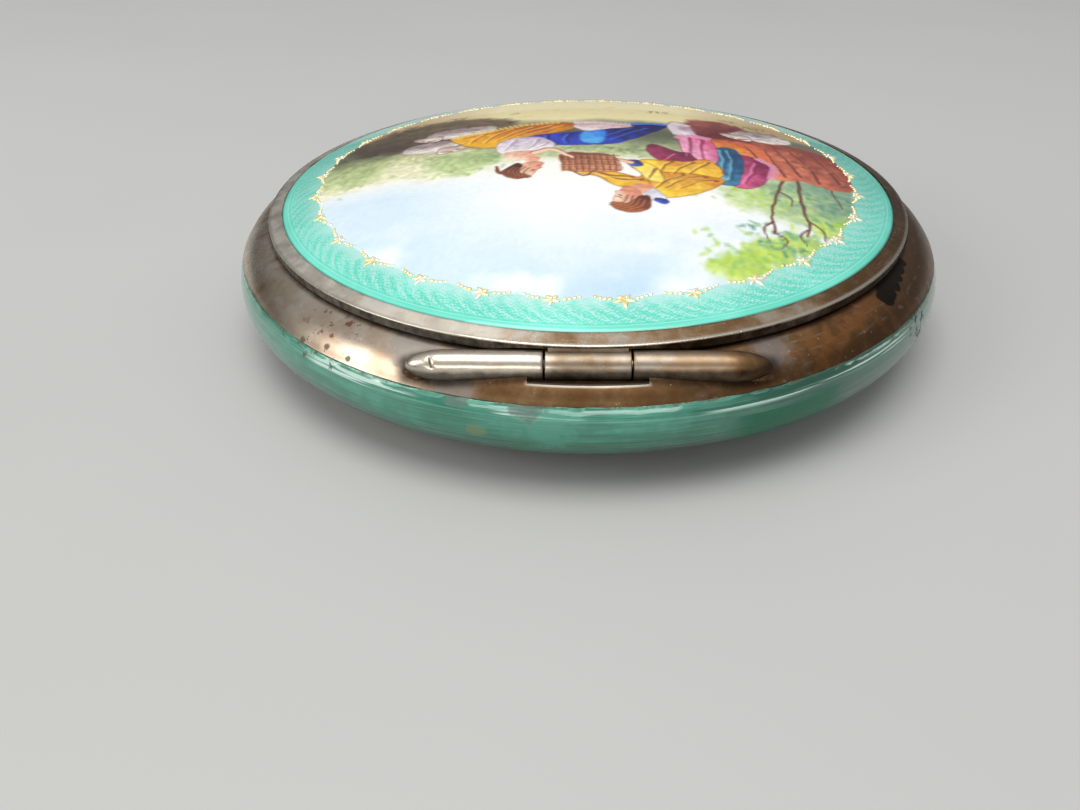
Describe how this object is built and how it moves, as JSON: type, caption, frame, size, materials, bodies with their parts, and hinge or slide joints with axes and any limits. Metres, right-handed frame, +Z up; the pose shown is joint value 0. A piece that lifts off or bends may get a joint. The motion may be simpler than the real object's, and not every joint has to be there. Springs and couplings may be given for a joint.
{
  "type": "pill box",
  "caption": "Round shallow enamelled metal pill box with a domed hinged lid, a barrel hinge at the rear and a lip at the front.",
  "frame": {"origin": "centre of the flat face under the base that the box rests on", "axes": "+Z up along the axis of the round body, -Y towards the thumb piece at the front, +Y towards the hinge"},
  "size_m": [0.0466, 0.0466, 0.0105],
  "materials": {
    "silver_gilt": "worn silver-gilt, satin",
    "worn_gilt": "tarnished silver-gilt, worn",
    "hinge_metal": "polished silver with worn gilding",
    "solder": "dull grey silver solder",
    "border_enamel": "glossy clear turquoise enamel over engine turning",
    "base_enamel": "glossy sea-green enamel over engine turning",
    "picture_enamel": "glossy painted enamel",
    "counter_enamel": "plain ivory counter enamel",
    "gold": "bright gold foil"
  },
  "bodies": {
    "base": {"base_pan": "silver_gilt", "base_enamel": "base_enamel", "base_shoulder": "worn_gilt", "mouth_ring": "silver_gilt", "hinge_knuckle_left": "hinge_metal", "hinge_knuckle_right": "hinge_metal", "hinge_tip_left": "hinge_metal", "hinge_tip_right": "hinge_metal", "hinge_solder_left": "solder", "hinge_solder_right": "solder", "hinge_pin": "hinge_metal"},
    "lid": {"lid_plate": "silver_gilt", "lid_bezel": "silver_gilt", "lid_flange": "silver_gilt", "lid_counter_enamel": "counter_enamel", "lid_border_enamel": "border_enamel", "lid_picture": "picture_enamel", "gold_stars": "gold", "gold_beads": "gold", "hinge_knuckle_centre": "hinge_metal", "hinge_leaf": "hinge_metal", "thumb_piece": "silver_gilt", "catch_bead": "silver_gilt"}
  },
  "joints": [
    {"name": "lid_hinge", "type": "hinge", "parent": "base", "child": "lid", "pos_m": [0, 0.021, 0.0067], "axis": [-1, 0, 0], "range_deg": [0, 110]}
  ]
}
